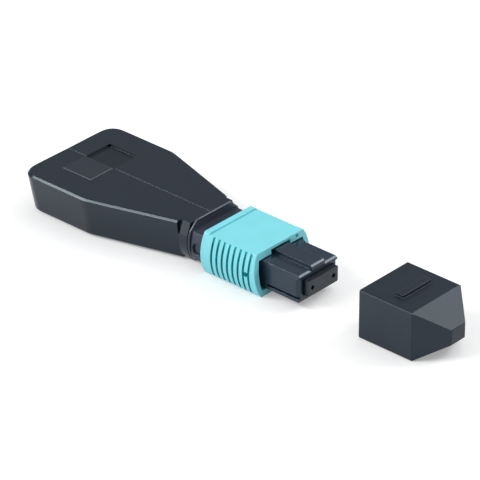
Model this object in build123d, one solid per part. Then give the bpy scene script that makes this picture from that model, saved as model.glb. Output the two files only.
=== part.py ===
from build123d import *
import os
from math import copysign, cos, pi, sin

# Multi-fibre loopback plug with its dust cap taken off.
# X runs along the plug axis towards the mating end, Y across the plug, Z up.
# The origin is the middle of the ferrule's polished end face. Lengths are in millimetres.

# Ferrule: rectangular block with two guide holes and one row of fibre bores
ferrule_width = 6.4
ferrule_height = 2.5
ferrule_length = 8.0
ferrule_edge_radius = 0.12
shoulder_width = 7.0
shoulder_height = 3.0
shoulder_length = 2.0
guide_hole_radius = 0.35
guide_hole_pitch = 4.6
fibre_count = 12
fibre_pitch = 0.25
fibre_radius = 0.0625
fibre_bore_clearance = 0.001
fibre_bore_length = 4.0
coating_radius = 0.115
coating_sides = 8
window_length = 1.0
window_width = 3.0

# Boot, pin keeper and oval ferrule spring behind the ferrule
boot_wall = 0.2
boot_height = 1.3
boot_tail = 3.0
boot_clearance = 0.05
slot_clearance = 0.045
keeper_plate = 0.95
keeper_rim = 1.0
keeper_rim_gap = 0.2
keeper_side_gap = 0.3
joint_gap = 0.05
ferrule_wire_radius = 0.15
ferrule_coil_turns = 5
coil_gap = 0.2
coil_steps = 12

# Plug frame: the nose that carries the key and guides the ferrule
ferrule_clearance = 0.08
ferrule_protrusion = 0.95
shoulder_clearance = 0.15
frame_side_wall = 0.6
frame_floor_wall = 0.5
key_width = 2.9
key_height = 0.65
key_tail = 2.1
front_bevel_run = 0.32
front_bevel_drop = 0.3
corner_cut_length = 0.65
corner_cut_width = 0.5
facet_width = 0.2
facet_height = 0.6
facet_length = 6.1
side_groove_height = 0.35
side_groove_depth = 0.45
ledge_height = 0.5
ear_thickness = 1.0
ear_height = 1.8
bump_height = 0.5
bump_length = 1.0
bump_width = 1.6

# Coupling sleeve
nose_length = 8.2
sleeve_length = 10.2
sleeve_chin = 0.75
sleeve_travel = 2.0
sleeve_wall = 0.55
sleeve_bulge = 1.0
sleeve_corner_radius = 0.5
slot_roof = 0.5
key_clearance = 0.15
key_slot_margin = 0.6
mouth_depth = 2.4
mouth_margin = 0.75
mouth_roof_gap = 0.12
mouth_floor_gap = 0.4
rib_thickness = 1.0
rib_clearance = 0.1
chamber_wall = 0.65
grip_count = 8
grip_pitch = 1.03
grip_width = 0.4
grip_depth = 0.42
grip_first = 2.14
field_depth = 0.26
lip_length = 1.0
rim_length = 0.75
rim_wave = 0.7
dimple_radius = 0.28
dimple_depth = 0.3
grip_hole_radius = 0.4
grip_hole_depth = 0.7

# Coupling springs, one each side of the frame
coupling_coil_radius = 0.4
coupling_wire_radius = 0.09
coupling_coil_turns = 7
lane_clearance = 0.13

# Spring push: the fixed rear body of the plug
tail_stop_gap = 0.6
frame_cover = 1.2
block_side_gap = 0.25
block_roof_gap = 0.5
block_bulge = 0.45
block_corner_radius = 0.15
block_pocket_radius = 0.95
block_pocket_depth = 0.4
block_pocket_drop = 0.2
pad_depth = 1.0
arm_length = 3.2
arm_thickness = 0.55
arm_width = 1.8
hook_length = 0.8
hook_setback = 0.1
window_clearance = 0.08
passage_width = 3.8
passage_height = 1.6
barrel_width = 6.4
barrel_height = 4.0
barrel_corner_radius = 0.6
barrel_length = 5.0
ring_start = 3.2
ring_length = 0.8
ring_height = 0.5
seat_clearance = 0.05
flange_thickness = 0.4
flange_rise = 0.5
flange_top_width = 7.1
flange_brow_width = 10.3
flange_brow_drop = 1.5
flange_waist_width = 11.1
flange_foot_width = 8.0
waist_z = 0.3

# Two-part body shell
shell_width = 19.9
shell_top = 3.3
shell_bottom = -3.1
side_draft = 1.2
neck_draft = 0.9
back_draft = 0.35
straight_length = 13.0
taper_length = 15.0
taper_end_width = 10.8
back_corner_radius = 2.6
bend_radius = 5.0
top_edge_bevel = 0.42
bottom_edge_radius = 0.3
shell_wall = 1.3
neck_gap = 0.2
collar_length = 1.55
collar_top_width = 9.1
collar_brow_width = 10.5
collar_brow_drop = 1.85
collar_waist_width = 10.8
collar_foot_width = 8.1
collar_flare = 0.05
notch_width = 0.35
notch_depth = 0.7
notch_height = 2.1
seam_width = 0.22
seam_depth = 0.16
mark_length = 5.75
mark_width = 5.1
mark_back = 4.15
mark_recess = 0.35
mark_rise = 0.14
mark_bevel = 0.11
mark_seam_gap = 0.2
tongue_length = 12.0
tongue_front = 3.0
tongue_thickness = 0.45
tongue_height = 0.6
tongue_clearance = 0.06

# Fibre loops lying in the shell
loop_spacing = 0.5
loop_side_gap = 0.3
loop_back_gap = 1.2
loop_flat = 0.2
fan_start_gap = 0.6
fan_radius = 9.0

# Dust cap, standing on its own beside the plug
cap_wall = 1.05
cap_roof_wall = 1.55
cap_fit = 0.1
cap_front_wall = 1.0
cap_end_gap = 0.4
cap_nose_length = 4.2
cap_nose_width = 2.9
cap_nose_height = 2.35
cap_nose_drop = 0.15
cap_edge_radius = 0.35
cap_bar_length = 1.4
cap_bar_width = 6.2
cap_bar_height = 0.5
cap_bar_back = 5.5
cap_gap = 10.2
cap_offset = 1.25

# Stations along X, from the mating end backwards
frame_front = -ferrule_protrusion
shoulder_front = -(ferrule_length - shoulder_length)
ferrule_back = -ferrule_length
keeper_front = ferrule_back - joint_gap
keeper_back = keeper_front - keeper_plate
sleeve_front = -nose_length
sleeve_back = sleeve_front - sleeve_length
frame_back = sleeve_back + frame_cover
ear_front = frame_back + ear_thickness
rib_front = sleeve_front - mouth_depth
rib_back = rib_front - rib_thickness
pad_front = frame_back + pad_depth
flange_front = sleeve_back - sleeve_travel - tail_stop_gap
flange_back = flange_front - flange_thickness
collar_front = flange_back - neck_gap
collar_back = collar_front - collar_length
bend_x = collar_back - taper_length
shell_back = bend_x - straight_length
push_back = flange_front - barrel_length

# Half sizes that several pieces share
frame_half = shoulder_width / 2 + shoulder_clearance + frame_side_wall
frame_rise = shoulder_height / 2 + shoulder_clearance + frame_floor_wall
cavity_half = shoulder_width / 2 + shoulder_clearance
cavity_rise = shoulder_height / 2 + shoulder_clearance
key_top = frame_rise + key_height
lane_width = 2 * (coupling_coil_radius + coupling_wire_radius) + 2 * lane_clearance
chamber_half = frame_half + lane_width
sleeve_half = chamber_half + sleeve_wall
sleeve_rise = key_top + key_clearance + slot_roof
chamber_rise = sleeve_rise - chamber_wall
chamber_bulge = sleeve_bulge * 0.9
mouth_bulge = sleeve_bulge * 0.6
arm_outer = cavity_half - shoulder_clearance
arm_inner = arm_outer - arm_thickness
coil_half = arm_inner - coil_gap - ferrule_wire_radius
coil_rise = cavity_rise - coil_gap - ferrule_wire_radius
ribbon_half = fibre_count * fibre_pitch / 2
boot_half = ribbon_half + slot_clearance + boot_wall
seam_y = 0.0
weld = 0.1


def along(section, start, end):
    """Extrude a section drawn in Y and Z from one station on X to another."""
    low = min(start, end)
    return extrude(Plane.YZ.offset(low) * section, amount=abs(end - start), dir=(1, 0, 0))


def upright(plan, low, high):
    """Extrude a plan drawn in X and Y from one height to another."""
    return extrude(Pos(0, 0, low) * plan, amount=high - low, dir=(0, 0, 1))


def block(x_low, x_high, y_low, y_high, z_low, z_high):
    """Box between limits on the three axes."""
    middle = Pos((x_low + x_high) / 2, (y_low + y_high) / 2, (z_low + z_high) / 2)
    return middle * Box(x_high - x_low, y_high - y_low, z_high - z_low)


def rounded(half_width, half_height, radius):
    """Rectangle about the axis with rounded corners."""
    return RectangleRounded(2 * half_width, 2 * half_height, radius)


def rod(x_low, x_high, y, z, radius):
    """Round rod parallel to X."""
    return along(Pos(y, z) * Circle(radius), x_low, x_high)


def coil(x_low, x_high, y, half_width, half_height, wire_radius, turns):
    """Compression spring along X: a wire swept round a race-track oval, in short straight runs."""
    count = turns * coil_steps
    first = x_low + wire_radius * 1.2
    rise = x_high - x_low - 2.4 * wire_radius
    points = []
    for step in range(count + 1):
        angle = 2 * pi * (step + 0.5) / coil_steps
        across = y + copysign(half_width - half_height, cos(angle)) + half_height * cos(angle)
        points.append(Vector(first + rise * step / count, across, half_height * sin(angle)))
    path = Polyline(*points)
    start = Plane(origin=points[0], z_dir=points[1] - points[0])
    return sweep(start * RegularPolygon(wire_radius, 6), path=path, transition=Transition.RIGHT)


def barrel_sided(half_width, half_height, bulge, corner):
    """Section with flat top and bottom and outward-curved sides."""
    flat = half_width - bulge
    top = Line((-flat, half_height), (flat, half_height))
    right = ThreePointArc((flat, half_height), (half_width, 0), (flat, -half_height))
    bottom = Line((flat, -half_height), (-flat, -half_height))
    left = ThreePointArc((-flat, -half_height), (-half_width, 0), (-flat, half_height))
    face = make_face(top + right + bottom + left)
    if corner > 0:
        face = fillet(face.vertices(), corner)
    return face


def neck_section(top_width, brow_width, brow_drop, waist_width, foot_width, top):
    """Section with a flat top, a short slope at each upper corner and curved sides."""
    points = [(top_width / 2, top), (brow_width / 2, top - brow_drop), (foot_width / 2, shell_bottom)]
    left = [(-y, z) for y, z in points]
    outline = Line(left[0], points[0]) + Line(points[0], points[1])
    outline += ThreePointArc(points[1], (waist_width / 2, waist_z), points[2])
    outline += Line(points[2], left[2])
    outline += ThreePointArc(left[2], (-waist_width / 2, waist_z), left[1])
    return make_face(outline + Line(left[1], left[0]))


def make_ferrule():
    body = along(rounded(ferrule_width / 2, ferrule_height / 2, ferrule_edge_radius), shoulder_front, 0)
    shoulder = rounded(shoulder_width / 2, shoulder_height / 2, ferrule_edge_radius)
    body += along(shoulder, ferrule_back, shoulder_front)
    pocket_half = boot_half + boot_clearance
    pocket_rise = boot_height / 2 + boot_clearance
    body -= block(ferrule_back - 1, -fibre_bore_length, -pocket_half, pocket_half, -pocket_rise, pocket_rise)
    window_front = -fibre_bore_length - window_length / 2
    window_half = window_width / 2
    body -= block(window_front - window_length, window_front, -window_half, window_half, 0, ferrule_height)
    for side in (-1, 1):
        body -= rod(ferrule_back - 1, 1, side * guide_hole_pitch / 2, 0, guide_hole_radius)
    for index in range(fibre_count):
        y = (index - (fibre_count - 1) / 2) * fibre_pitch
        body -= rod(-fibre_bore_length - 1, 1, y, 0, fibre_radius + fibre_bore_clearance)
    return body


def make_boot():
    front = -fibre_bore_length - window_length / 2 - window_length - joint_gap
    back = keeper_back - boot_tail
    body = along(rounded(boot_half, boot_height / 2, boot_wall), back, front)
    slot_half = ribbon_half + slot_clearance
    slot_rise = coating_radius + slot_clearance
    return body - block(back - 1, front + 1, -slot_half, slot_half, -slot_rise, slot_rise)


def make_keeper():
    plate_half = ferrule_width / 2
    plate_rise = cavity_rise - keeper_side_gap
    body = along(rounded(plate_half, plate_rise, ferrule_edge_radius), keeper_back, keeper_front)
    rim_half = coil_half - ferrule_wire_radius - keeper_rim_gap
    rim_rise = coil_rise - ferrule_wire_radius - keeper_rim_gap
    rim = rounded(rim_half, rim_rise, rim_rise * 0.98)
    body += along(rim, keeper_back - keeper_rim, keeper_back)
    hole_half = boot_half + boot_clearance
    hole_rise = boot_height / 2 + boot_clearance
    hole = block(keeper_back - 2 * keeper_rim, keeper_front + 1, -hole_half, hole_half, -hole_rise, hole_rise)
    return body - hole


def make_frame():
    body = along(Rectangle(2 * frame_half, 2 * frame_rise), frame_back, frame_front)
    key_half = key_width / 2
    body += block(sleeve_front - key_tail, frame_front, -key_half, key_half, frame_rise - weld, key_top)
    bevelled = []
    for edge in body.edges().filter_by(Axis.Y):
        middle = edge.center()
        level = abs(middle.Z - frame_rise) < 0.01 or abs(middle.Z - key_top) < 0.01
        if level and abs(middle.X - frame_front) < 0.01:
            bevelled.append(edge)
    front_faces = [f for f in body.faces().filter_by(Axis.X) if abs(f.center().X - frame_front) < 0.01]
    body = chamfer(bevelled, front_bevel_drop, front_bevel_run, reference=front_faces[0])
    facet_back = frame_front - facet_length
    groove_low = -frame_rise + ledge_height
    groove_high = groove_low + side_groove_height
    for side in (-1, 1):
        corner = (side * frame_half, frame_rise)
        down = (side * frame_half, frame_rise - facet_height)
        inward = (side * (frame_half - facet_width), frame_rise)
        body -= along(Polygon(corner, down, inward, align=None), facet_back, frame_front + 1)
        corner_cut = Polygon(
            (frame_front, side * (frame_half - corner_cut_width)),
            (frame_front + 1, side * (frame_half - corner_cut_width)),
            (frame_front + 1, side * (frame_half + 1)),
            (frame_front - corner_cut_length, side * (frame_half + weld)),
            align=None,
        )
        body -= upright(corner_cut, groove_low, frame_rise - facet_height)
        near = side * (frame_half - side_groove_depth)
        far = side * (frame_half + 1)
        body -= block(facet_back, frame_front + 1, min(near, far), max(near, far), groove_low, groove_high)
        ear_far = side * (chamber_half - lane_clearance)
        low, high = min(0, ear_far), max(0, ear_far)
        body += block(frame_back, ear_front, low, high, -ear_height / 2, ear_height / 2)
        foot = rib_front + rib_clearance
        ramp = Polygon(
            (foot, side * (frame_half - weld)),
            (foot, side * (frame_half + bump_height)),
            (foot + bump_length, side * (frame_half - weld)),
            align=None,
        )
        body += upright(ramp, -bump_width / 2, bump_width / 2)
        arm_tip = pad_front + arm_length
        reach = hook_length + window_clearance
        half = arm_width / 2 + window_clearance
        outer = side * (frame_half + 1)
        low, high = min(0, outer), max(0, outer)
        body -= block(arm_tip - reach, arm_tip + window_clearance, low, high, -half, half)
    throat = Rectangle(ferrule_width + 2 * ferrule_clearance, ferrule_height + 2 * ferrule_clearance)
    body -= along(throat, frame_back - 1, frame_front + 1)
    cavity = Rectangle(2 * cavity_half, 2 * cavity_rise)
    return body - along(cavity, frame_back - 1, shoulder_front + joint_gap)


def make_sleeve():
    outside = barrel_sided(sleeve_half, sleeve_rise, sleeve_bulge, sleeve_corner_radius)
    # The front face leans, so that the chin underneath stands further forward than the top
    chin = sleeve_front + sleeve_chin
    body = along(outside, sleeve_back, chin)
    lean = Polygon(
        (sleeve_front, sleeve_rise),
        (chin, -sleeve_rise),
        (chin + 1, -sleeve_rise),
        (chin + 1, sleeve_rise + 1),
        (sleeve_front, sleeve_rise + 1),
        align=None,
    )
    body -= extrude(Plane.XZ * lean, amount=2 * sleeve_half, both=True)
    # Sunk field between the rear lip and the waved front rim, on top and underneath
    field_back = sleeve_back + lip_length
    field_front = sleeve_front - rim_length
    half = sleeve_half
    field = make_face(
        Polyline((field_front, half), (field_back, half), (field_back, -half), (field_front, -half))
        + ThreePointArc((field_front, -half), (field_front - rim_wave, 0), (field_front, half))
    )
    top_field = upright(field, sleeve_rise - field_depth, sleeve_rise + 1)
    body -= top_field
    body -= mirror(top_field, Plane.XY)
    # Finger grips: arc grooves down both sides
    inner = barrel_sided(sleeve_half - grip_depth, sleeve_rise + 1, sleeve_bulge, 0)
    for index in range(grip_count):
        x = sleeve_back + grip_first + index * grip_pitch
        reach = sleeve_rise - field_depth
        ring = block(x - grip_width / 2, x + grip_width / 2, -half - 1, half + 1, -reach, reach)
        body -= ring - along(inner, x - grip_width, x + grip_width)
    # Rear chamber for the coupling springs, spring rib, and the mouth with its key slot
    chamber = barrel_sided(chamber_half, chamber_rise, chamber_bulge, 0)
    body -= along(chamber, sleeve_back - 1, rib_back)
    rib_hole = Rectangle(2 * (frame_half + rib_clearance), 2 * (frame_rise + rib_clearance))
    body -= along(rib_hole, rib_back - 1, rib_front + 1)
    mouth_half = frame_half + mouth_margin
    mouth_top = frame_rise + mouth_roof_gap
    mouth_bottom = -frame_rise - mouth_floor_gap
    mouth = barrel_sided(mouth_half, sleeve_rise, mouth_bulge, 0)
    mouth &= Pos(0, (mouth_top + mouth_bottom) / 2) * Rectangle(4 * mouth_half, mouth_top - mouth_bottom)
    body -= along(mouth, rib_front, sleeve_front + 1)
    slot_half = key_width / 2 + key_slot_margin
    body -= block(rib_front, sleeve_front + 1, -slot_half, slot_half, 0, key_top + key_clearance)
    # Moulding marks: a small hole between two grips on the near side, and a dimple on the front face
    mark_x = sleeve_back + grip_first + (grip_count - 1.5) * grip_pitch
    grip_hole = Pos(mark_x, -sleeve_half, 0) * Rot(90, 0, 0) * Cylinder(grip_hole_radius, 2 * grip_hole_depth)
    body -= grip_hole
    dot_y = (slot_half + sleeve_half - sleeve_bulge) / 2
    dot_z = (mouth_top + sleeve_rise) / 2
    return body - rod(sleeve_front - dimple_depth, sleeve_front + 1, dot_y, dot_z, dimple_radius)


def make_push():
    block_half = chamber_half - block_side_gap
    block_rise = chamber_rise - block_roof_gap
    section = barrel_sided(block_half, block_rise, block_bulge, block_corner_radius)
    body = along(section, flange_front, frame_back - joint_gap)
    flange = neck_section(
        flange_top_width,
        flange_brow_width,
        flange_brow_drop,
        flange_waist_width,
        flange_foot_width,
        shell_top + flange_rise,
    )
    body += along(flange, flange_back, flange_front)
    barrel = rounded(barrel_width / 2, barrel_height / 2, barrel_corner_radius)
    body += along(barrel, push_back, flange_back)
    ring = rounded(barrel_width / 2 + ring_height, barrel_height / 2 + ring_height, barrel_corner_radius)
    ring_front = flange_front - ring_start
    body += along(ring, ring_front - ring_length, ring_front)
    pad_rise = cavity_rise - shoulder_clearance
    body += along(rounded(arm_outer, pad_rise, arm_thickness / 2), frame_back - joint_gap, pad_front)
    arm_tip = pad_front + arm_length
    for side in (-1, 1):
        low, high = sorted((side * arm_inner, side * arm_outer))
        body += block(pad_front - weld, arm_tip, low, high, -arm_width / 2, arm_width / 2)
        hook = Polygon(
            (arm_tip - hook_length, side * (arm_outer - weld)),
            (arm_tip - hook_length, side * (frame_half - hook_setback)),
            (arm_tip - hook_length / 2, side * (frame_half - hook_setback)),
            (arm_tip, side * (arm_outer - weld)),
            align=None,
        )
        body += upright(hook, -arm_width / 2, arm_width / 2)
        pocket_x = (flange_front + sleeve_back) / 2 - joint_gap
        pocket = Pos(pocket_x, side * block_half, -block_pocket_drop)
        body -= pocket * Rot(90, 0, 0) * Cylinder(block_pocket_radius, 2 * block_pocket_depth)
    passage = rounded(passage_width / 2, passage_height / 2, passage_height / 4)
    return body - along(passage, push_back - 1, pad_front + 1)


def shell_outline(side_inset, neck_inset, back_inset):
    """Plan of the body: square-cornered back with rounded corners, then a straight taper."""
    back = shell_back + back_inset
    wide = shell_width / 2 - side_inset
    narrow = taper_end_width / 2 - neck_inset
    plan = Polygon(
        (back, -wide),
        (bend_x, -wide),
        (collar_back, -narrow),
        (collar_back, narrow),
        (bend_x, wide),
        (back, wide),
        align=None,
    )
    corners = [v for v in plan.vertices() if abs(v.X - back) < 0.01]
    plan = fillet(corners, back_corner_radius)
    bends = [v for v in plan.vertices() if abs(v.X - bend_x) < 0.01]
    return fillet(bends, bend_radius)


def make_shells():
    top_plan = Pos(0, 0, shell_top) * shell_outline(0, 0, 0)
    bottom_plan = Pos(0, 0, shell_bottom) * shell_outline(side_draft, neck_draft, back_draft)
    body = loft([bottom_plan, top_plan], ruled=True)
    rear = [e for e in body.edges() if e.center().X < collar_back - 0.01]
    body = chamfer([e for e in rear if e.center().Z > shell_top - 0.01], top_edge_bevel)
    rear = [e for e in body.edges() if e.center().X < collar_back - 0.01]
    body = fillet([e for e in rear if e.center().Z < shell_bottom + 0.01], bottom_edge_radius)
    # Collar at the neck, and the upright notch where the taper meets it
    widths = (collar_top_width, collar_brow_width, collar_waist_width, collar_foot_width)
    rings = []
    for x, extra in ((collar_back, 2 * collar_flare), (collar_front, 0)):
        top_width, brow_width, waist_width, foot_width = (w + extra for w in widths)
        ring = neck_section(top_width, brow_width, collar_brow_drop, waist_width, foot_width, shell_top)
        rings.append(Plane.YZ.offset(x) * ring)
    body += loft(rings, ruled=True)
    notch_foot = shell_top - notch_height
    notch_near = taper_end_width / 2 - notch_depth
    for side in (-1, 1):
        low, high = sorted((side * notch_near, side * shell_width))
        body -= block(collar_back - notch_width, collar_back, low, high, notch_foot, shell_top + 1)
    # Square marks either side of the seam: one sunk, one raised
    mark_low = shell_back + mark_back
    mark_high = mark_low + mark_length
    body -= block(mark_low, mark_high, seam_y, mark_width, shell_top - mark_recess, shell_top + 1)
    mark_top = shell_top + mark_rise
    mark = block(mark_low, mark_high, -mark_width, -mark_seam_gap, shell_top - weld, mark_top)
    body += chamfer(mark.edges().group_by(Axis.Z)[-1], mark_bevel)
    # Fine groove along the seam, above and below
    for level, depth in ((shell_top, -seam_depth), (shell_bottom, seam_depth)):
        vee = Polygon((-seam_width / 2, level), (seam_width / 2, level), (0, level + depth), align=None)
        body -= along(vee, shell_back - 1, collar_front + 1)
    # Room for the fibre loops, and the seat that grips the spring push
    room_half = shell_width / 2 - side_draft - shell_wall
    room_neck = barrel_width / 2 + seat_clearance
    room_plan = Polygon(
        (shell_back + back_draft + shell_wall, -room_half),
        (bend_x, -room_half),
        (push_back, -room_neck),
        (push_back, room_neck),
        (bend_x, room_half),
        (shell_back + back_draft + shell_wall, room_half),
        align=None,
    )
    room_low = shell_bottom + shell_wall
    room_high = shell_top - shell_wall
    body -= upright(room_plan, room_low, room_high)
    seat_half = barrel_width / 2 + seat_clearance
    seat_rise = barrel_height / 2 + seat_clearance
    body -= along(rounded(seat_half, seat_rise, barrel_corner_radius), push_back - 0.5, collar_front + 1)
    ring_front = flange_front - ring_start + seat_clearance
    ring_back = flange_front - ring_start - ring_length - seat_clearance
    ring = rounded(seat_half + ring_height, seat_rise + ring_height, barrel_corner_radius)
    body -= along(ring, ring_back, ring_front)
    # Split on the vertical middle plane, with a tongue on one half and its groove in the other
    far = shell_width
    left = body & block(shell_back - 1, collar_front + 1, -far, seam_y, -far, far)
    right = body & block(shell_back - 1, collar_front + 1, seam_y, far, -far, far)
    tongue_end = push_back - tongue_front
    gap = tongue_clearance
    for level in ((shell_top + room_high) / 2 - seam_depth, (shell_bottom + room_low) / 2 + seam_depth):
        low = level - tongue_thickness / 2
        high = level + tongue_thickness / 2
        start = tongue_end - tongue_length
        left += block(start, tongue_end, -tongue_height, tongue_height, low, high)
        right -= block(start - gap, tongue_end + gap, -1, tongue_height + gap, low - gap, high + gap)
    return left, right


def make_loop(index):
    """One fibre from a bore round the back of the shell to the opposite bore."""
    y = ((fibre_count - 1) / 2 - index) * fibre_pitch
    room_half = shell_width / 2 - side_draft - shell_wall
    radius = room_half - loop_side_gap - index * loop_spacing
    back = shell_back + back_draft + shell_wall + loop_back_gap + index * loop_spacing
    tip = -fibre_bore_length - joint_gap
    fan_start = push_back - fan_start_gap
    points = (
        (tip, y),
        (fan_start, y),
        (bend_x, radius),
        (back, radius),
        (back, -radius),
        (bend_x, -radius),
        (fan_start, -y),
        (tip, -y),
    )
    turn = radius - loop_flat / 2
    path = FilletPolyline(*points, radius=[fan_radius, fan_radius, turn, turn, fan_radius, fan_radius])
    start = Plane(origin=(tip, y, 0), z_dir=(-1, 0, 0))
    strand = sweep(start * RegularPolygon(coating_radius, coating_sides), path=path)
    for side in (-1, 1):
        strand += rod(tip - joint_gap, 0, side * y, 0, fibre_radius)
    return strand


def make_cap():
    room_half = frame_half + cap_fit
    room_rise = frame_rise + cap_fit
    key_room = key_top + cap_fit
    floor_z = -sleeve_rise
    roof_z = key_room + cap_roof_wall
    half = room_half + cap_wall
    depth = nose_length + cap_end_gap
    length = depth + cap_front_wall
    outer = Pos(0, (roof_z + floor_z) / 2) * Rectangle(2 * half, roof_z - floor_z)
    body = along(outer, 0, length)
    nose_z = (roof_z + floor_z) / 2 - cap_nose_drop
    root = Plane.YZ.offset(length) * outer
    tip = Pos(0, nose_z) * Rectangle(cap_nose_width, cap_nose_height)
    end = Plane.YZ.offset(length + cap_nose_length) * tip
    body += loft([root, end], ruled=True)
    body = fillet(body.edges().filter_by(Axis.X), cap_edge_radius)
    bar = (cap_bar_back - cap_bar_length / 2, cap_bar_back + cap_bar_length / 2)
    body += block(*bar, -cap_bar_width / 2, cap_bar_width / 2, roof_z - weld, roof_z + cap_bar_height)
    body -= block(-1, depth, -room_half, room_half, -room_rise, room_rise)
    key_half = key_width / 2 + cap_fit
    body -= block(-1, depth, -key_half, key_half, 0, key_room)
    return Pos(cap_gap, cap_offset, 0) * body


def main():
    os.makedirs("parts", exist_ok=True)
    left_shell, right_shell = make_shells()
    spring_y = chamber_half - lane_width / 2
    spring = (ear_front + joint_gap, rib_back - joint_gap)
    round_coil = (coupling_coil_radius, coupling_coil_radius, coupling_wire_radius, coupling_coil_turns)
    oval_coil = (coil_half, coil_rise, ferrule_wire_radius, ferrule_coil_turns)
    pieces = {
        "left_shell": left_shell,
        "right_shell": right_shell,
        "coupling_sleeve": make_sleeve(),
        "plug_frame": make_frame(),
        "spring_push": make_push(),
        "ferrule": make_ferrule(),
        "ferrule_boot": make_boot(),
        "pin_keeper": make_keeper(),
        "ferrule_spring": coil(pad_front + joint_gap, keeper_back - joint_gap, 0, *oval_coil),
        "coupling_spring_left": coil(*spring, -spring_y, *round_coil),
        "coupling_spring_right": coil(*spring, spring_y, *round_coil),
        "dust_cap": make_cap(),
    }
    for index in range(fibre_count // 2):
        pieces["fibre_loop_%d" % (index + 1)] = make_loop(index)
    for name, piece in pieces.items():
        export_step(piece, "parts/" + name + ".step")


main()
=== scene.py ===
import math

import bmesh
import bpy
from mathutils import Matrix, Vector


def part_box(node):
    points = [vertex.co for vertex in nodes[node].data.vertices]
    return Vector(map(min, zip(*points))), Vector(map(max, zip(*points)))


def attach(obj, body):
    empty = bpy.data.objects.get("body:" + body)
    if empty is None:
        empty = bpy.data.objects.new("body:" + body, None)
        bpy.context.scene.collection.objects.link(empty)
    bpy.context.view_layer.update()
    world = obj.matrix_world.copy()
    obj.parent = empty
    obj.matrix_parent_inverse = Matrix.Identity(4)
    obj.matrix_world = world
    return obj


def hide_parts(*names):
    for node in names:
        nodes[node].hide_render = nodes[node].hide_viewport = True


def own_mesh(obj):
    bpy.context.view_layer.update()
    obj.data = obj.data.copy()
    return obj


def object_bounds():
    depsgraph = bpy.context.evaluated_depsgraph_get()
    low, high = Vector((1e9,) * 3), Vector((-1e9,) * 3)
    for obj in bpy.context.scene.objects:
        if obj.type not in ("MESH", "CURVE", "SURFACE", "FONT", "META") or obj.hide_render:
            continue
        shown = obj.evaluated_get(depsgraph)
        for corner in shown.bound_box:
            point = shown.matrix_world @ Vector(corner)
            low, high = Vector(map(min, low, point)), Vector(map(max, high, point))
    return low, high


bl_info = {
    "name": "Loopback plug looks",
    "version": (1, 0, 0),
    "blender": (4, 5, 0),
    "location": "View3D > Sidebar > Loopback plug",
    "description": "Dresses a multi-fibre loopback plug and its dust cap, and sets a pale studio around them",
    "category": "Object",
}

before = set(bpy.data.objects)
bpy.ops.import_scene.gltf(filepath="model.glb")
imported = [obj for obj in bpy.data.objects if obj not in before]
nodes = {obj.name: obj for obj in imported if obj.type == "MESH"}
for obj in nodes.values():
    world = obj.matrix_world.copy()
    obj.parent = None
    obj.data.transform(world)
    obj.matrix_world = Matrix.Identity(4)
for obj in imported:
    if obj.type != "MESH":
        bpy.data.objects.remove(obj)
cad_low, cad_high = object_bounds()
MM = 0.001

# Coupling sleeve in millimetres: places along it run from its back end, widths and heights from its axis
sleeve_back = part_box("coupling_sleeve")[0].x / MM
# Finger grips: middle of the first one, pitch, width and number on a side
GRIP_FIRST = 2.14
GRIP_PITCH = 1.03
GRIP_WIDTH = 0.40
GRIP_COUNT = 8
# Faces of a grip, which get a painted shade, lie outside the sleeve's room, between its two fields and below
# the lips of the grip
GRIP_INNER = 4.2
GRIP_RISE = 3.2
GRIP_LIP = 0.1
GRIP_MARGIN = 0.01
# Small moulding hole, which gets the same painted shade, with its place counted in grips
HOLE_STEP = GRIP_COUNT - 1.5
HOLE_RADIUS = 0.4
HOLE_MARGIN = 0.02
# Back lip and front rim, with the straight stretch of the line where a field meets the rim
LIP_END = 1.02
RIM_START = 10.0
RIM_HALF = 3.9
RIM_RISE = 3.4
# Bulged sides
BULGE_HALF = 6.04
BULGE_RADIUS = 6.45

# Squares on the body in millimetres: one stands on the left half and gets a painted sheen, the other is sunk
# in the right half and gets a painted shade
raised_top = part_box("left_shell")[1].z / MM
shell_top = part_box("right_shell")[1].z / MM
SQUARE_EDGE = 0.10
SQUARE_RECESS = 0.35
SQUARE_MARGIN = 0.02
FACES_UP = 0.9

# Corners that are merged, in millimetres, and the turn below which faces make one plane
MERGE_GAP = 0.002
PLANE_TURN = math.radians(0.8)
# Least turn of an edge that is rounded, the room that it needs in widths, and the turn of a line that runs on
SHARP_TURN = math.radians(28)
ROOM_WIDTHS = 2.2
RUN_ON_TURN = math.radians(140)
# Turns between faces that are shaded as one surface
FLAT_TURN = math.radians(30)
ROUND_TURN = math.radians(58)

# Middle of the noise that finishes spread over their values, and the moulded plastic
NOISE_LOW = 0.3
NOISE_HIGH = 0.7
DRIFT_SIZE = 4.0 * MM
ROUGHNESS_SWING = 0.02
PLASTIC_IOR = 1.46
GRAIN_STRENGTH = 0.12
COOL_TINT = (0.80, 0.92, 1.0)
NO_TINT = (1, 1, 1)

# Studio: floor, dome, the line along the plug, and the camera's picture
FLOOR_RADIUS = 4.0
FLOOR_SIDES = 64
FLOOR_GREY = 0.8
FLOOR_GLOW = 0.27
DOME_COLOUR = (0.97, 0.985, 1.0)
ALONG_PLUG = (1, 0, 0)
PICTURE_SIDE = 480
SENSOR_MM = 36.0
CLIP_NEAR = 0.01


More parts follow.
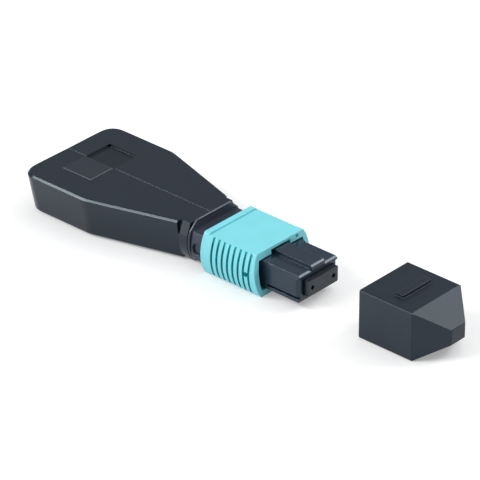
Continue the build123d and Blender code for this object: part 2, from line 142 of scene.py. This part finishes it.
class PlugColours(bpy.types.PropertyGroup):
    """Colours of the moulded, metal and soft finishes, with painted shade in the grips and the sunk square
    and a painted sheen on the raised square.
    """

    shell: bpy.props.FloatVectorProperty(
        name="Shell black", description="Satin black of the two body halves",
        subtype="COLOR", size=3, min=0, max=1, default=(0.005, 0.010, 0.019))
    # Painted sheen: a lighter black laid on the raised square
    raised_sheen: bpy.props.FloatVectorProperty(
        name="Raised square sheen", description="Slightly lighter black of the raised square",
        subtype="COLOR", size=3, min=0, max=1, default=(0.0150, 0.0180, 0.0280))
    # Painted shade: a deeper black laid on the floor of the sunk square, where the shade falls
    sunk_shade: bpy.props.FloatVectorProperty(
        name="Sunk square shade", description="Deeper black of the sunk square",
        subtype="COLOR", size=3, min=0, max=1, default=(0.0015, 0.005, 0.011))
    plug: bpy.props.FloatVectorProperty(
        name="Plug black", description="Black of the nose",
        subtype="COLOR", size=3, min=0, max=1, default=(0.012, 0.022, 0.037))
    push: bpy.props.FloatVectorProperty(
        name="Rear body black", description="Softer black of the flange and the rear body",
        subtype="COLOR", size=3, min=0, max=1, default=(0.023, 0.029, 0.046))
    cap: bpy.props.FloatVectorProperty(
        name="Cap black", description="Fine-grained black of the dust cap",
        subtype="COLOR", size=3, min=0, max=1, default=(0.006, 0.011, 0.020))
    ferrule: bpy.props.FloatVectorProperty(
        name="Ferrule black", description="Filled black resin of the ferrule",
        subtype="COLOR", size=3, min=0, max=1, default=(0.004, 0.007, 0.012))
    sleeve: bpy.props.FloatVectorProperty(
        name="Sleeve aqua", description="Aqua of the coupling sleeve",
        subtype="COLOR", size=3, min=0, max=1, default=(0.205, 0.675, 0.755))
    # Painted shade: a deeper teal put down in the finger grips and the moulding hole, where the shade falls
    grip: bpy.props.FloatVectorProperty(
        name="Painted grip shade", description="Deeper teal down in the finger grips",
        subtype="COLOR", size=3, min=0, max=1, default=(0.02, 0.42, 0.47))
    glass: bpy.props.FloatVectorProperty(
        name="Fibre glass", description="Dark glass of the bare fibre ends",
        subtype="COLOR", size=3, min=0, max=1, default=(0.01, 0.011, 0.013))
    boot: bpy.props.FloatVectorProperty(
        name="Boot white", description="Soft white of the ferrule boot",
        subtype="COLOR", size=3, min=0, max=1, default=(0.72, 0.72, 0.69))
    steel: bpy.props.FloatVectorProperty(
        name="Steel", description="Bright steel of springs and pin keeper",
        subtype="COLOR", size=3, min=0, max=1, default=(0.58, 0.57, 0.55))
    fibre: bpy.props.FloatVectorProperty(
        name="Fibre coat", description="Aqua coat of the fibre loops",
        subtype="COLOR", size=3, min=0, max=1, default=(0.16, 0.58, 0.60))


class PlugEdges(bpy.types.PropertyGroup):
    """Widths of the moulded edges."""

    shell: bpy.props.FloatProperty(
        name="Shell edge", description="Rounding of the body halves' edges",
        unit="LENGTH", min=0, precision=6, default=0.09 * MM)
    plug: bpy.props.FloatProperty(
        name="Plug edge", description="Rounding of the nose's edges",
        unit="LENGTH", min=0, precision=6, default=0.07 * MM)
    push: bpy.props.FloatProperty(
        name="Rear body edge", description="Flats along the outer edges of the flange and the rear body",
        unit="LENGTH", min=0, precision=6, default=0.10 * MM)
    sleeve: bpy.props.FloatProperty(
        name="Sleeve edge", description="Rounding of the coupling sleeve's edges",
        unit="LENGTH", min=0, precision=6, default=0.08 * MM)
    cap: bpy.props.FloatProperty(
        name="Cap edge", description="Rounding of the dust cap's edges",
        unit="LENGTH", min=0, precision=6, default=0.12 * MM)


class PlugStage(bpy.types.PropertyGroup):
    """Camera and light of the studio."""

    azimuth: bpy.props.FloatProperty(
        name="Azimuth", description="Turn of the view round the plug",
        subtype="ANGLE", default=math.radians(41.966))
    elevation: bpy.props.FloatProperty(
        name="Elevation", description="Height of the view above the floor",
        subtype="ANGLE", default=math.radians(29.913))
    distance: bpy.props.FloatProperty(
        name="Distance", description="From the camera to the ferrule's end face",
        unit="LENGTH", default=0.5731)
    lens: bpy.props.FloatProperty(
        name="Lens", description="Focal length in millimetres",
        unit="CAMERA", default=300.0)
    face_x: bpy.props.FloatProperty(
        name="Face across", description="Pixel column of the ferrule's end face",
        subtype="PIXEL", default=323.26)
    face_y: bpy.props.FloatProperty(
        name="Face down", description="Pixel row of the ferrule's end face",
        subtype="PIXEL", default=281.38)
    dome: bpy.props.FloatProperty(
        name="Dome", description="Strength of the soft light from all round", default=0.42)
    key: bpy.props.FloatProperty(
        name="Key", description="Power of the strip softbox on the left",
        unit="POWER", default=1.14)
    glint: bpy.props.FloatProperty(
        name="Glint", description="Power of the small lamp that draws the seam",
        unit="POWER", default=0.34)
    rim: bpy.props.FloatProperty(
        name="Rim", description="Power of the softbox behind",
        unit="POWER", default=0.85)
    top: bpy.props.FloatProperty(
        name="Top", description="Power of the softbox overhead",
        unit="POWER", default=1.65)
    fill: bpy.props.FloatProperty(
        name="Fill", description="Power of the low softbox on the near side",
        unit="POWER", default=0.75)


def settings():
    """The three groups of settings of this scene."""
    scene = bpy.context.scene
    return scene.plug_colours, scene.plug_edges, scene.plug_stage


def place(name, data):
    """New object in the scene."""
    thing = bpy.data.objects.new(name, data)
    bpy.context.scene.collection.objects.link(thing)
    return thing


def empty_material(name):
    """Material whose node tree has only its output."""
    material = bpy.data.materials.new(name)
    material.use_nodes = True
    tree = material.node_tree
    tree.nodes.clear()
    return material, tree, tree.nodes.new("ShaderNodeOutputMaterial")


def new_material(name):
    """Material with its surface shader."""
    material, tree, output = empty_material(name)
    shader = tree.nodes.new("ShaderNodeBsdfPrincipled")
    tree.links.new(shader.outputs["BSDF"], output.inputs["Surface"])
    return material, tree, shader


def shaded(colour, factor):
    """Lighter or darker shade of a colour."""
    return [factor * part for part in colour]


def noise(tree, size, detail):
    """Noise on the piece's own coordinates, with features of about the given size."""
    coordinates = tree.nodes.new("ShaderNodeTexCoord")
    texture = tree.nodes.new("ShaderNodeTexNoise")
    texture.inputs["Scale"].default_value = 1.0 / size
    texture.inputs["Detail"].default_value = detail
    tree.links.new(coordinates.outputs["Object"], texture.inputs["Vector"])
    return texture.outputs["Fac"]


def spread(tree, factor, low, high):
    """Maps the middle of a noise to a range of values."""
    node = tree.nodes.new("ShaderNodeMapRange")
    node.inputs["From Min"].default_value = NOISE_LOW
    node.inputs["From Max"].default_value = NOISE_HIGH
    node.inputs["To Min"].default_value = low
    node.inputs["To Max"].default_value = high
    tree.links.new(factor, node.inputs["Value"])
    return node.outputs["Result"]


def drift(tree, factor, first, second):
    """Colour that wanders between two shades."""
    node = tree.nodes.new("ShaderNodeMix")
    node.data_type = "RGBA"
    node.inputs["A"].default_value = (*first, 1)
    node.inputs["B"].default_value = (*second, 1)
    tree.links.new(factor, node.inputs["Factor"])
    return node.outputs["Result"]


def moulded(name, colour, shade, roughness, grain, relief, tint=COOL_TINT):
    """Moulded plastic: slow drift to a shade, fine spark-eroded grain, roughness that follows the grain."""
    material, tree, shader = new_material(name)
    slow = spread(tree, noise(tree, DRIFT_SIZE, detail=3.0), 0, 1)
    tree.links.new(drift(tree, slow, colour, shaded(colour, shade)), shader.inputs["Base Color"])
    fine = noise(tree, grain, detail=2.0)
    rough = spread(tree, fine, roughness - ROUGHNESS_SWING, roughness + ROUGHNESS_SWING)
    tree.links.new(rough, shader.inputs["Roughness"])
    shader.inputs["IOR"].default_value = PLASTIC_IOR
    shader.inputs["Specular Tint"].default_value = (*tint, 1)
    bump = tree.nodes.new("ShaderNodeBump")
    bump.inputs["Strength"].default_value = GRAIN_STRENGTH
    bump.inputs["Distance"].default_value = relief
    tree.links.new(fine, bump.inputs["Height"])
    tree.links.new(bump.outputs["Normal"], shader.inputs["Normal"])
    return material


def drawn_steel(name, colour):
    """Bright steel with fine drawing lines along X."""
    lines_per_metre = (400, 9000, 9000)
    line_shade = 0.82
    smooth, rough = 0.2, 0.38
    material, tree, shader = new_material(name)
    coordinates = tree.nodes.new("ShaderNodeTexCoord")
    stretch = tree.nodes.new("ShaderNodeMapping")
    stretch.inputs["Scale"].default_value = lines_per_metre
    lines = tree.nodes.new("ShaderNodeTexNoise")
    lines.inputs["Scale"].default_value = 1.0
    lines.inputs["Detail"].default_value = 2.0
    tree.links.new(coordinates.outputs["Object"], stretch.inputs["Vector"])
    tree.links.new(stretch.outputs["Vector"], lines.inputs["Vector"])
    drawn = lines.outputs["Fac"]
    tree.links.new(drift(tree, drawn, colour, shaded(colour, line_shade)), shader.inputs["Base Color"])
    tree.links.new(spread(tree, drawn, smooth, rough), shader.inputs["Roughness"])
    shader.inputs["Metallic"].default_value = 1.0
    return material


def soft_rubber(name, colour):
    """Matte soft rubber with a dusty drift."""
    dust_size = 0.6 * MM
    dust_shade = 0.85
    smooth, rough = 0.6, 0.8
    material, tree, shader = new_material(name)
    dust = noise(tree, dust_size, detail=4.0)
    tree.links.new(drift(tree, dust, colour, shaded(colour, dust_shade)), shader.inputs["Base Color"])
    tree.links.new(spread(tree, dust, smooth, rough), shader.inputs["Roughness"])
    return material


def fibre_coat(name, colour, glass):
    """Coloured coat along the loop, and bare dark glass where the ends sit in the ferrule."""
    bare_from, bare_to = -4.1 * MM, -3.9 * MM
    coat_drift = 3.0 * MM
    coat_shade = 0.8
    smooth, rough = 0.25, 0.4
    material, tree, shader = new_material(name)
    coordinates = tree.nodes.new("ShaderNodeTexCoord")
    split = tree.nodes.new("ShaderNodeSeparateXYZ")
    tree.links.new(coordinates.outputs["Object"], split.inputs["Vector"])
    bare = tree.nodes.new("ShaderNodeMapRange")
    bare.inputs["From Min"].default_value = bare_from
    bare.inputs["From Max"].default_value = bare_to
    tree.links.new(split.outputs["X"], bare.inputs["Value"])
    slow = noise(tree, coat_drift, detail=2.0)
    ends = tree.nodes.new("ShaderNodeMix")
    ends.data_type = "RGBA"
    tree.links.new(bare.outputs["Result"], ends.inputs["Factor"])
    tree.links.new(drift(tree, slow, colour, shaded(colour, coat_shade)), ends.inputs["A"])
    ends.inputs["B"].default_value = (*glass, 1)
    tree.links.new(ends.outputs["Result"], shader.inputs["Base Color"])
    tree.links.new(spread(tree, slow, smooth, rough), shader.inputs["Roughness"])
    return material


def dress(node_name, material):
    """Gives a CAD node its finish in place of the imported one."""
    node = nodes[node_name]
    node.data.materials.clear()
    node.data.materials.append(material)


def merged_copy(node_name):
    """Editable copy of a CAD node in millimetres, with doubles merged and flat faces made whole."""
    shape = bmesh.new()
    shape.from_mesh(nodes[node_name].data)
    bmesh.ops.scale(shape, vec=(1 / MM,) * 3, verts=shape.verts)
    bmesh.ops.remove_doubles(shape, verts=shape.verts, dist=MERGE_GAP)
    bmesh.ops.dissolve_limit(
        shape, angle_limit=PLANE_TURN, use_dissolve_boundaries=False,
        verts=shape.verts, edges=shape.edges, delimit={"NORMAL"})
    return shape


def average_normal(faces, towards, turn):
    """Mean normal, by area, of the faces within a turn of a direction; None where there is no such face."""
    total = Vector()
    for face in faces:
        if face.normal.angle(towards) < turn:
            total += face.normal * face.calc_area()
    return total.normalized() if total.length else None


def corner_normals(shape, rounded):
    """Normals that keep flat faces flat to their edges, while a rounding turns from one flat to the next."""
    normals = []
    for face in shape.faces:
        turn = ROUND_TURN if face in rounded else FLAT_TURN
        for vert in face.verts:
            flats = [f for f in vert.link_faces if f not in rounded]
            normal = average_normal(flats, face.normal, turn)
            if normal is None:
                normal = average_normal(vert.link_faces, face.normal, ROUND_TURN)
            normals.append(normal)
    return normals


def finish_piece(shape, rounded, node_name, ending, body, material):
    """Puts a shape drawn in millimetres in the place of a CAD node, as a piece that rides on a body."""
    shape.normal_update()
    normals = corner_normals(shape, rounded)
    bmesh.ops.scale(shape, vec=(MM,) * 3, verts=shape.verts)
    for face in shape.faces:
        face.smooth = True
    mesh = bpy.data.meshes.new(node_name + ending)
    shape.to_mesh(mesh)
    shape.free()
    mesh.normals_split_custom_set(normals)
    mesh.materials.append(material)
    piece = place(node_name + ending, mesh)
    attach(piece, body)
    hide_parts(node_name)
    return piece


def runs_on(edge, other, vert):
    """True where another edge at a vertex carries on in nearly the same line."""
    ahead = edge.other_vert(vert).co - vert.co
    behind = other.other_vert(vert).co - vert.co
    return ahead.angle(behind) > RUN_ON_TURN


def has_room(edge, sharp, width):
    """True where no neighbour of an edge is too short for a rounding of the given width."""
    for vert in edge.verts:
        for other in vert.link_edges:
            if other is edge or (other in sharp and runs_on(edge, other, vert)):
                continue
            if other.calc_length() < ROOM_WIDTHS * width:
                return False
    return True


def round_edges(shape, width, left_sharp, segments):
    """Rounds the sharp edges that have room for it, apart from those left sharp; returns the new faces."""
    sharp = {e for e in shape.edges if e.is_manifold and e.calc_face_angle() > SHARP_TURN}
    if left_sharp:
        sharp -= {e for e in sharp if left_sharp(e)}
    tight = True
    while tight:
        tight = {e for e in sharp if not has_room(e, sharp, width / MM)}
        sharp -= tight
    made = bmesh.ops.bevel(
        shape, geom=[e for e in shape.edges if e in sharp], offset=width / MM, offset_type="OFFSET",
        segments=segments, profile=0.5, affect="EDGES", clamp_overlap=False, material=-1)
    return set(made["faces"])


def soften(node_name, body, material, width, left_sharp=None):
    """Replaces a CAD node by a copy of itself with moulded edges."""
    shape = merged_copy(node_name)
    rounded = round_edges(shape, width, left_sharp, segments=2)
    return finish_piece(shape, rounded, node_name, "_moulded", body, material)


def is_inner_corner(edge):
    """True for an edge where two faces meet in a hollow."""
    return not edge.is_convex


def break_edges(node_name, body, material, width):
    """Replaces a CAD node by a copy of itself with its outer edges broken by small flats."""
    shape = merged_copy(node_name)
    round_edges(shape, width, is_inner_corner, segments=1)
    return finish_piece(shape, set(), node_name, "_moulded", body, material)


def paint(piece, material, chosen):
    """Gives a second finish to the faces of a piece that a test chooses."""
    piece.data.materials.append(material)
    for face in piece.data.polygons:
        if chosen(face):
            face.material_index = 1


def on_raised_square(face):
    """True for the raised square of the left half and its rounded edges, which get a painted sheen."""
    return face.center.z / MM > raised_top - SQUARE_EDGE


def on_sunk_square(face):
    """True for the floor of the sunk square in the right half, which gets a painted shade."""
    depth = shell_top - face.center.z / MM
    return abs(depth - SQUARE_RECESS) < SQUARE_MARGIN and face.normal.z > FACES_UP


class PLUG_OT_shells(bpy.types.Operator):
    """Dresses the two halves of the closed body."""

    bl_idname = "plug.shells"
    bl_label = "Body shells"

    def execute(self, context):
        colours, edges, _ = settings()
        skin = {"grain": 0.16 * MM, "relief": 0.0015 * MM}
        black = moulded("shell_black", colours.shell, shade=1.15, roughness=0.24, **skin)
        # Painted sheen: a lighter, rougher copy of the shell black on the raised square
        raised_sheen = moulded("square_raised_sheen", colours.raised_sheen, shade=1.1, roughness=0.42, **skin)
        # Painted shade: a darker copy of the shell black on the floor of the sunk square
        sunk_shade = moulded("square_sunk_shade", colours.sunk_shade, shade=1.1, roughness=0.22, **skin)
        left = soften("left_shell", "housing", black, edges.shell)
        paint(left, raised_sheen, on_raised_square)
        right = soften("right_shell", "housing", black, edges.shell)
        paint(right, sunk_shade, on_sunk_square)
        return {"FINISHED"}


def between_lip_and_rim(edge):
    """True for a sleeve edge along the grips, apart from the lines where its two fields meet the rim."""
    middle = (edge.verts[0].co + edge.verts[1].co) / 2
    rim_line = abs(middle.y) < RIM_HALF and abs(middle.z) > RIM_RISE
    return LIP_END < middle.x - sleeve_back < RIM_START and not rim_line


def grip_skin(height):
    """Half width of the sleeve's bulged side at a height, less the lips of the grips; in millimetres."""
    return BULGE_HALF - GRIP_LIP - (BULGE_RADIUS - math.sqrt(BULGE_RADIUS ** 2 - height ** 2))


def gets_grip_shade(face):
    """True for a sleeve face down in a finger grip or in the small moulding hole, where a painted shade goes.
    """
    x, y, z = face.center / MM
    step = (x - sleeve_back - GRIP_FIRST) / GRIP_PITCH
    from_grip = abs(step - round(step)) * GRIP_PITCH
    grip = 0 <= round(step) < GRIP_COUNT and from_grip < GRIP_WIDTH / 2 + GRIP_MARGIN
    from_hole = math.hypot((step - HOLE_STEP) * GRIP_PITCH, z)
    hole = y < 0 and from_hole < HOLE_RADIUS + HOLE_MARGIN
    return (grip or hole) and abs(z) < GRIP_RISE and GRIP_INNER < abs(y) < grip_skin(z)


class PLUG_OT_sleeve(bpy.types.Operator):
    """Dresses the sliding coupling sleeve."""

    bl_idname = "plug.sleeve"
    bl_label = "Coupling sleeve"

    def execute(self, context):
        colours, edges, _ = settings()
        aqua = moulded(
            "sleeve_aqua", colours.sleeve, shade=0.94, roughness=0.34,
            grain=0.2 * MM, relief=0.006 * MM, tint=NO_TINT)
        # Painted shade in the grips and the moulding hole: a deeper, rougher teal
        grip_shade = moulded(
            "grip_painted_shade", colours.grip, shade=0.85, roughness=0.5,
            grain=0.2 * MM, relief=0.008 * MM)
        sleeve = soften("coupling_sleeve", "sleeve", aqua, edges.sleeve, between_lip_and_rim)
        paint(sleeve, grip_shade, gets_grip_shade)
        return {"FINISHED"}


class PLUG_OT_plug(bpy.types.Operator):
    """Dresses the nose frame and the rear body of the plug."""

    bl_idname = "plug.plug"
    bl_label = "Plug frame and rear body"

    def execute(self, context):
        colours, edges, _ = settings()
        nose = moulded(
            "plug_black", colours.plug, shade=1.3, roughness=0.24,
            grain=0.14 * MM, relief=0.003 * MM)
        soften("plug_frame", "housing", nose, edges.plug)
        rear = moulded(
            "push_black", colours.push, shade=1.2, roughness=0.32,
            grain=0.14 * MM, relief=0.004 * MM)
        break_edges("spring_push", "housing", rear, edges.push)
        return {"FINISHED"}


class PLUG_OT_ferrule(bpy.types.Operator):
    """Dresses the ferrule and what rides behind it."""

    bl_idname = "plug.ferrule"
    bl_label = "Ferrule and fibres"

    def execute(self, context):
        colours, _, _ = settings()
        resin = moulded(
            "ferrule_black", colours.ferrule, shade=1.6, roughness=0.3,
            grain=0.06 * MM, relief=0.004 * MM)
        dress("ferrule", resin)
        dress("ferrule_boot", soft_rubber("boot_white", colours.boot))
        dress("pin_keeper", drawn_steel("keeper_steel", colours.steel))
        coat = fibre_coat("fibre_aqua", colours.fibre, colours.glass)
        for node_name in sorted(nodes):
            if node_name.startswith("fibre_loop"):
                dress(node_name, coat)
        return {"FINISHED"}


class PLUG_OT_springs(bpy.types.Operator):
    """Dresses the springs with drawn steel; the real springs shorten as the sleeve and the ferrule are pushed
    back, but these keep their shape.
    """

    bl_idname = "plug.springs"
    bl_label = "Springs"

    def execute(self, context):
        colours, _, _ = settings()
        steel = drawn_steel("spring_steel", colours.steel)
        driven = {
            "coupling_spring_left": "sleeve_slide",
            "coupling_spring_right": "sleeve_slide",
            "ferrule_spring": "ferrule_float",
        }
        for node_name, joint in driven.items():
            shape = merged_copy(node_name)
            piece = finish_piece(shape, set(), node_name, "_wire", "housing", steel)
            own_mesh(piece)
        return {"FINISHED"}


class PLUG_OT_cap(bpy.types.Operator):
    """Dresses the dust cap."""

    bl_idname = "plug.cap"
    bl_label = "Dust cap"

    def execute(self, context):
        colours, edges, _ = settings()
        black = moulded(
            "cap_black", colours.cap, shade=1.3, roughness=0.44,
            grain=0.18 * MM, relief=0.016 * MM)
        soften("dust_cap", "housing", black, edges.cap)
        return {"FINISHED"}


def larger(tree, first, second):
    """The larger of two values."""
    node = tree.nodes.new("ShaderNodeMath")
    node.operation = "MAXIMUM"
    tree.links.new(first, node.inputs[0])
    tree.links.new(second, node.inputs[1])
    return node.outputs["Value"]


def floor_material():
    """Pale floor that reads white to the camera and keeps the soft shadows."""
    material, tree, output = empty_material("studio_floor")
    diffuse = tree.nodes.new("ShaderNodeBsdfDiffuse")
    diffuse.inputs["Color"].default_value = (FLOOR_GREY, FLOOR_GREY, FLOOR_GREY, 1)
    path = tree.nodes.new("ShaderNodeLightPath")
    seen = larger(tree, path.outputs["Is Camera Ray"], path.outputs["Is Glossy Ray"])
    seen = larger(tree, seen, path.outputs["Is Transmission Ray"])
    strength = tree.nodes.new("ShaderNodeMath")
    strength.operation = "MULTIPLY"
    strength.inputs[1].default_value = FLOOR_GLOW
    tree.links.new(seen, strength.inputs[0])
    glow = tree.nodes.new("ShaderNodeEmission")
    tree.links.new(strength.outputs["Value"], glow.inputs["Strength"])
    both = tree.nodes.new("ShaderNodeAddShader")
    tree.links.new(diffuse.outputs["BSDF"], both.inputs[0])
    tree.links.new(glow.outputs["Emission"], both.inputs[1])
    tree.links.new(both.outputs["Shader"], output.inputs["Surface"])
    return material


def lay_floor():
    """Round floor at the height on which the plug and its cap stand."""
    shape = bmesh.new()
    bmesh.ops.create_circle(shape, cap_ends=True, segments=FLOOR_SIDES, radius=FLOOR_RADIUS)
    bmesh.ops.translate(shape, vec=(0, 0, cad_low.z), verts=shape.verts)
    mesh = bpy.data.meshes.new("floor")
    shape.to_mesh(mesh)
    shape.free()
    mesh.materials.append(floor_material())
    floor = place("floor", mesh)


def light_dome(strength):
    """Soft, slightly cool light from all round."""
    world = bpy.data.worlds.new("studio_dome")
    world.use_nodes = True
    background = world.node_tree.nodes["Background"]
    background.inputs["Color"].default_value = (*DOME_COLOUR, 1)
    background.inputs["Strength"].default_value = strength
    bpy.context.scene.world = world


def softbox(name, direction, along, distance, size, power):
    """Area lamp that faces the plug from a direction, with its first side along the given line."""
    lamp = bpy.data.lights.new(name, "AREA")
    lamp.shape = "RECTANGLE"
    lamp.size, lamp.size_y = size
    lamp.energy = power
    centre = (cad_low + cad_high) / 2
    away = Vector(direction).normalized()
    side = Vector(along)
    side = (side - side.dot(away) * away).normalized()
    turn = Matrix((side, away.cross(side), away)).transposed().to_4x4()
    place(name, lamp).matrix_world = Matrix.Translation(centre + distance * away) @ turn


def hang_softboxes(stage):
    """Strip for the body's near top edge, small lamp for its seam, and broad lamps behind, above and near."""
    softbox(
        "key_left", direction=(-0.435, -0.656, 0.602), along=(0.922, -0.232, 0.308),
        distance=0.5, size=(0.36, 0.075), power=stage.key)
    softbox(
        "seam_glint", direction=(-0.58, -0.485, 0.631), along=ALONG_PLUG,
        distance=0.5, size=(0.08, 0.06), power=stage.glint)
    softbox(
        "rim_behind", direction=(0.42, 0.645, 0.635), along=ALONG_PLUG,
        distance=0.5, size=(0.18, 0.16), power=stage.rim)
    softbox(
        "top_wide", direction=(0.24, 0.34, 1.0), along=ALONG_PLUG,
        distance=0.7, size=(0.8, 0.8), power=stage.top)
    softbox(
        "fill_near", direction=(-0.58, -0.8, 0.13), along=(0.81, -0.58, 0),
        distance=0.8, size=(0.5, 0.22), power=stage.fill)


def aim_camera(stage):
    """Camera that sees the ferrule's end face at its place in the picture."""
    azimuth, elevation = stage.azimuth, stage.elevation
    right = Vector((math.cos(azimuth), math.sin(azimuth), 0))
    back = Vector((
        math.sin(azimuth) * math.cos(elevation),
        -math.cos(azimuth) * math.cos(elevation),
        math.sin(elevation)))
    up = back.cross(right)
    per_pixel = stage.distance * SENSOR_MM / (stage.lens * PICTURE_SIDE)
    across = (stage.face_x - PICTURE_SIDE / 2) * per_pixel
    above = (PICTURE_SIDE / 2 - stage.face_y) * per_pixel
    lens = bpy.data.cameras.new("photo_camera")
    lens.sensor_width = SENSOR_MM
    lens.lens = stage.lens
    lens.clip_start = CLIP_NEAR
    camera = place("photo_camera", lens)
    turn = Matrix((right, up, back)).transposed().to_4x4()
    camera.matrix_world = Matrix.Translation(back * stage.distance - right * across - up * above) @ turn
    bpy.context.scene.camera = camera


class PLUG_OT_stage(bpy.types.Operator):
    """Sets the pale floor, the studio light and the camera."""

    bl_idname = "plug.stage"
    bl_label = "Studio"

    def execute(self, context):
        _, _, stage = settings()
        lay_floor()
        light_dome(stage.dome)
        hang_softboxes(stage)
        aim_camera(stage)
        context.scene.view_settings.view_transform = "Standard"
        return {"FINISHED"}


class PLUG_PT_panel(bpy.types.Panel):
    """Lists the settings and the pieces."""

    bl_label = "Loopback plug"
    bl_idname = "PLUG_PT_panel"
    bl_space_type = "VIEW_3D"
    bl_region_type = "UI"
    bl_category = "Loopback plug"

    def draw(self, context):
        for group in settings():
            box = self.layout.box()
            for name in group.__annotations__:
                box.prop(group, name)
        for operator in OPERATORS:
            self.layout.operator(operator.bl_idname)


OPERATORS = (
    PLUG_OT_shells,
    PLUG_OT_sleeve,
    PLUG_OT_plug,
    PLUG_OT_ferrule,
    PLUG_OT_springs,
    PLUG_OT_cap,
    PLUG_OT_stage,
)
CLASSES = (PlugColours, PlugEdges, PlugStage, *OPERATORS, PLUG_PT_panel)


def register():
    for item in CLASSES:
        bpy.utils.register_class(item)
    bpy.types.Scene.plug_colours = bpy.props.PointerProperty(type=PlugColours)
    bpy.types.Scene.plug_edges = bpy.props.PointerProperty(type=PlugEdges)
    bpy.types.Scene.plug_stage = bpy.props.PointerProperty(type=PlugStage)


def unregister():
    del bpy.types.Scene.plug_stage
    del bpy.types.Scene.plug_edges
    del bpy.types.Scene.plug_colours
    for item in reversed(CLASSES):
        bpy.utils.unregister_class(item)


def main():
    register()
    bpy.ops.plug.shells()
    bpy.ops.plug.sleeve()
    bpy.ops.plug.plug()
    bpy.ops.plug.ferrule()
    bpy.ops.plug.springs()
    bpy.ops.plug.cap()
    bpy.ops.plug.stage()


if __name__ == "__main__":
    main()
